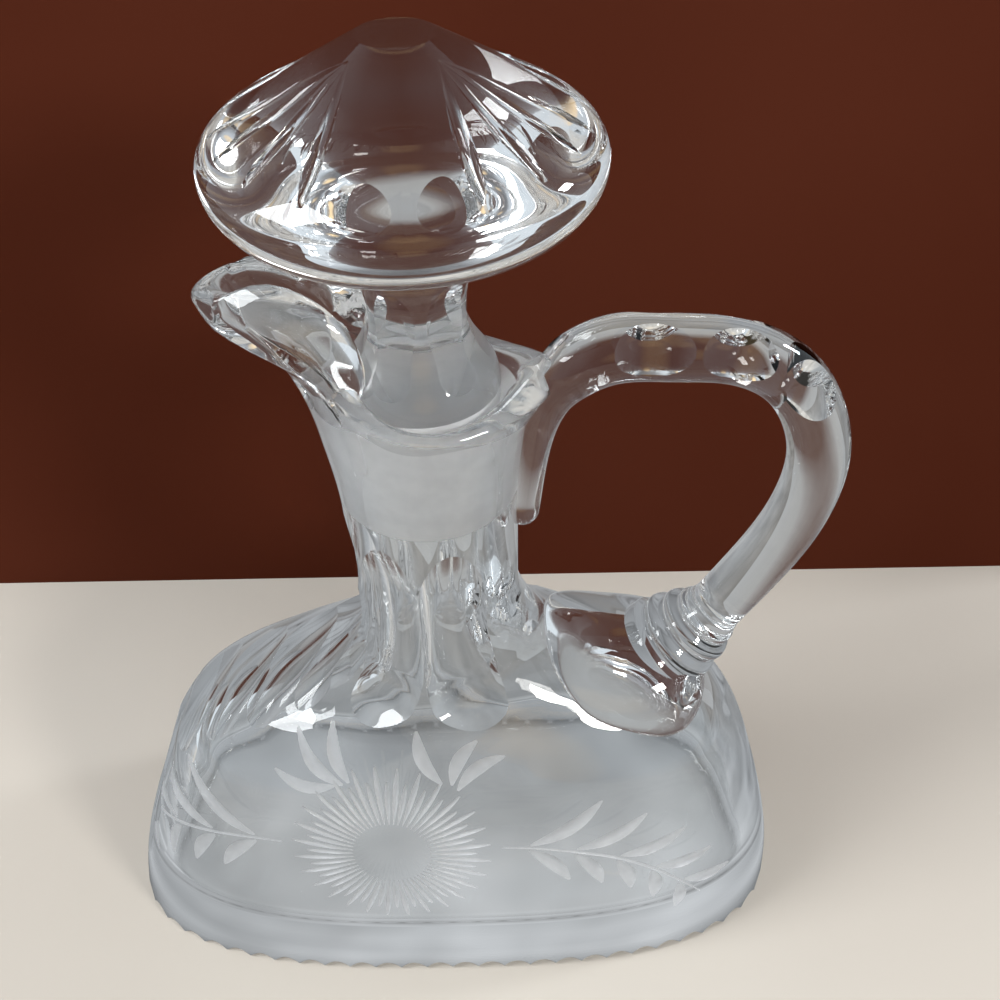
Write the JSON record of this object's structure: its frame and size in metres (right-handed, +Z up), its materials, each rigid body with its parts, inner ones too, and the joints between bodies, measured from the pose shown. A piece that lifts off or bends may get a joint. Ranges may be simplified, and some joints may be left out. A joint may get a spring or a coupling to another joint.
{
  "type": "crystal carafe",
  "caption": "Flattened cut-crystal carafe with a pouring lip, a fused loop handle and a ground mushroom stopper; engraved front.",
  "frame": {"origin": "on the resting face, below the neck's axis", "axes": "+Z up along the neck, +X towards the handle, -X towards the pouring spout, -Y towards the engraved front"},
  "size_m": [0.1228, 0.056, 0.16],
  "materials": {
    "vessel_crystal": "clear polished lead crystal with cut flutes, matte engraving and a ground bore",
    "stopper_crystal": "clear polished lead crystal with mitre cuts and a ground plug"
  },
  "bodies": {
    "root": {"vessel": "vessel_crystal", "stopper": "stopper_crystal"}
  },
  "joints": []
}
